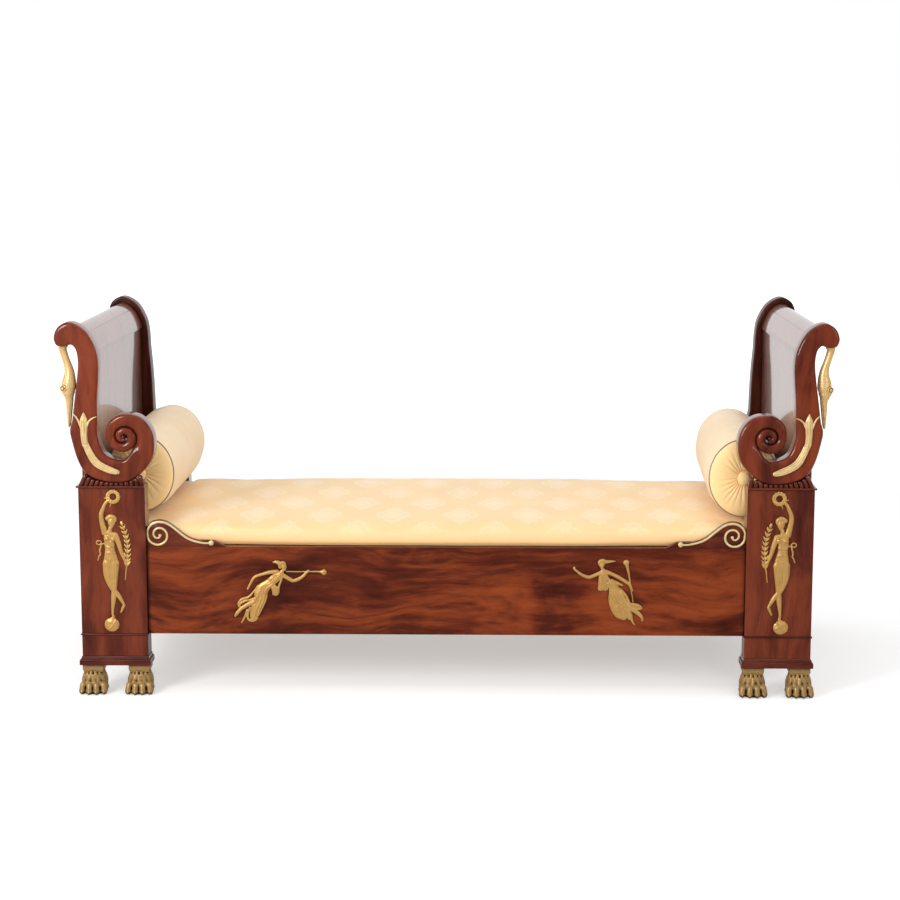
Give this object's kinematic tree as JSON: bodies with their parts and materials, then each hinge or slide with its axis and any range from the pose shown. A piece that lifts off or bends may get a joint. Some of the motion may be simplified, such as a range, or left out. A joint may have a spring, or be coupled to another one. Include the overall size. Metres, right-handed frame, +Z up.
{
  "type": "recamier",
  "caption": "Long upholstered day sofa with two equal scrolled ends, swan-head terminals, box rails, paw feet, gilt relief mounts, a squab mattress and loose bolsters",
  "frame": {"origin": "on the floor under the middle of the sofa", "axes": "+X along the length to the right end seen from the front, +Y from front to back, +Z up; the front faces -Y"},
  "size_m": [1.9984, 0.8664, 0.975],
  "materials": {
    "mahogany": "polished red-brown mahogany",
    "deck_wood": "plain planed softwood",
    "gilt": "fire-gilt bronze, satin with burnished edges",
    "brass_pins": "plain brass",
    "screw_steel": "plain steel",
    "damask": "gold silk damask",
    "silk": "plain gold silk"
  },
  "bodies": {
    "frame": {"post_front_left": "mahogany", "base_moulding_front_left": "mahogany", "bead_front_left": "mahogany", "capital_front_left": "mahogany", "scroll_front_left": "mahogany", "swan_head_front_left": "gilt", "leaf_mount_front_left": "gilt", "foot_front_left_inner": "gilt", "foot_front_left_outer": "gilt", "post_front_right": "mahogany", "base_moulding_front_right": "mahogany", "bead_front_right": "mahogany", "capital_front_right": "mahogany", "scroll_front_right": "mahogany", "swan_head_front_right": "gilt", "leaf_mount_front_right": "gilt", "foot_front_right_inner": "gilt", "foot_front_right_outer": "gilt", "post_rear_left": "mahogany", "base_moulding_rear_left": "mahogany", "bead_rear_left": "mahogany", "capital_rear_left": "mahogany", "upright_rear_left": "mahogany", "foot_rear_left_inner": "gilt", "foot_rear_left_outer": "gilt", "post_rear_right": "mahogany", "base_moulding_rear_right": "mahogany", "bead_rear_right": "mahogany", "capital_rear_right": "mahogany", "upright_rear_right": "mahogany", "foot_rear_right_inner": "gilt", "foot_rear_right_outer": "gilt", "end_rail_left": "mahogany", "head_panel_left": "mahogany", "crest_roll_left": "mahogany", "post_figure_left": "gilt", "bracket_left": "mahogany", "bracket_inlay_left": "gilt", "herald_left": "gilt", "end_rail_right": "mahogany", "head_panel_right": "mahogany", "crest_roll_right": "mahogany", "post_figure_right": "gilt", "bracket_right": "mahogany", "bracket_inlay_right": "gilt", "herald_right": "gilt", "front_rail": "mahogany", "rear_rail": "mahogany", "cleat_front": "deck_wood", "cleat_rear": "deck_wood", "slats": "deck_wood", "cleat_screws": "screw_steel", "brass_nails": "brass_pins"},
    "mattress_body": {"mattress": "damask"},
    "bolster_left_body": {"bolster_left": "silk"},
    "bolster_right_body": {"bolster_right": "silk"}
  },
  "joints": [
    {"name": "mattress_lift", "type": "slide", "parent": "frame", "child": "mattress_body", "axis": [0, 0, 1], "range_m": [0, 0.12]},
    {"name": "bolster_left_lift", "type": "slide", "parent": "mattress_body", "child": "bolster_left_body", "axis": [0.5, 0, 0.866], "range_m": [0, 0.3]},
    {"name": "bolster_right_lift", "type": "slide", "parent": "mattress_body", "child": "bolster_right_body", "axis": [-0.5, 0, 0.866], "range_m": [0, 0.3]}
  ]
}
